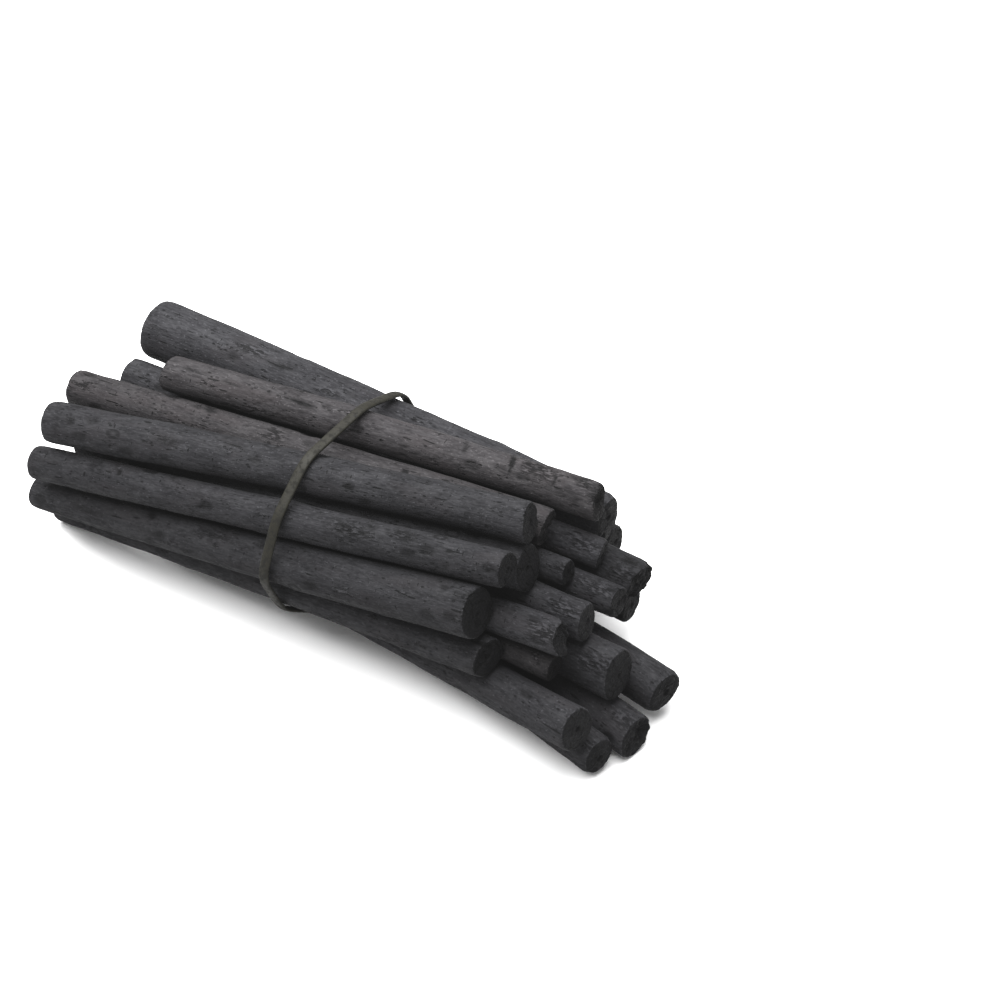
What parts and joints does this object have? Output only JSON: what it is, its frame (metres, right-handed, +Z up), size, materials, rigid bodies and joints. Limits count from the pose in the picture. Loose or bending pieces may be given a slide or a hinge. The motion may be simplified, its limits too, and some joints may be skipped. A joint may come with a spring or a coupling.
{
  "type": "bundle of willow charcoal sticks",
  "caption": "Bundle of willow charcoal drawing sticks of mixed thickness, held together at the middle by a flat rubber band and splayed at both ends.",
  "frame": {"origin": "middle of the bounding box's footprint, on the surface that the bundle lies on", "axes": "+X along the bundle towards the ends that splay out lower, +Y towards the back of the bundle, +Z up"},
  "size_m": [0.178, 0.0836, 0.0601],
  "materials": {
    "charcoal": "matte charred wood, dark grey, with fine lengthwise grain and pits",
    "brown_charcoal": "matte charred wood, dark grey with a brown cast",
    "band": "matte olive-brown rubber, dusty"
  },
  "bodies": {
    "root": {"stick_01": "charcoal", "stick_02": "charcoal", "stick_03": "brown_charcoal", "stick_04": "brown_charcoal", "stick_05": "charcoal", "stick_06": "charcoal", "stick_07": "charcoal", "stick_08": "charcoal", "stick_09": "charcoal", "stick_10": "charcoal", "stick_11": "charcoal", "stick_12": "charcoal", "stick_13": "charcoal", "stick_14": "charcoal", "stick_15": "charcoal", "stick_16": "brown_charcoal", "stick_17": "charcoal", "stick_18": "charcoal", "stick_19": "charcoal", "stick_20": "charcoal", "stick_21": "charcoal", "stick_22": "charcoal", "stick_23": "charcoal", "stick_24": "charcoal", "stick_25": "charcoal", "rubber_band": "band"}
  },
  "joints": []
}
